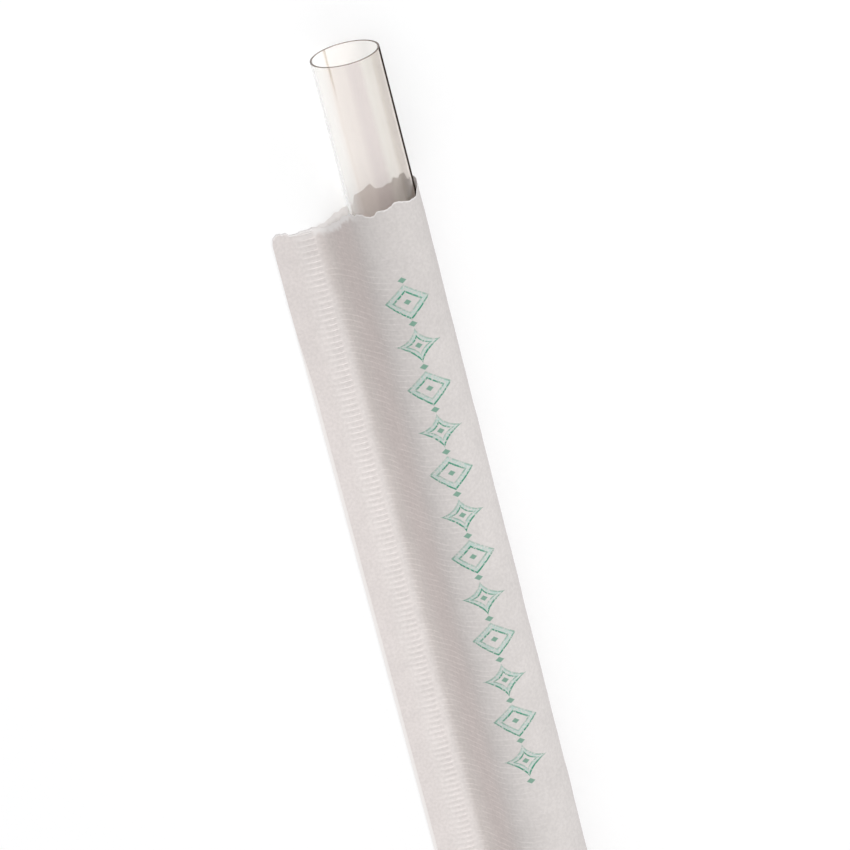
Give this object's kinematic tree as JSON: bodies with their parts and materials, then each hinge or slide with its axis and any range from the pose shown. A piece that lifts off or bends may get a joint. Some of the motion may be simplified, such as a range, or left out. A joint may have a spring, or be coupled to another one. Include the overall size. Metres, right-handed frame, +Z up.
{
  "type": "wrapped drinking straw",
  "caption": "Clear plastic drinking straw lying in a crimped paper wrapper that is torn open at one end, so that the straw pulls out.",
  "frame": {"origin": "middle of the underside of the whole object, on the surface it lies on", "axes": "+X along the straw from its open tip to the wrapper's closed end, +Y from the crimped margin to the rounded fold, +Z up"},
  "size_m": [0.2138, 0.017, 0.0066],
  "materials": {
    "straw": "clear glossy plastic with a faint cream tint",
    "wrapper": "thin white uncoated paper with a crimped seam and a line of green ornament"
  },
  "bodies": {
    "wrapper": {"wrapper": "wrapper"},
    "straw": {"straw": "straw"}
  },
  "joints": [
    {"name": "straw_slide", "type": "slide", "parent": "wrapper", "child": "straw", "axis": [-1, 0, 0], "range_m": [-0.0015, 0.185]}
  ]
}
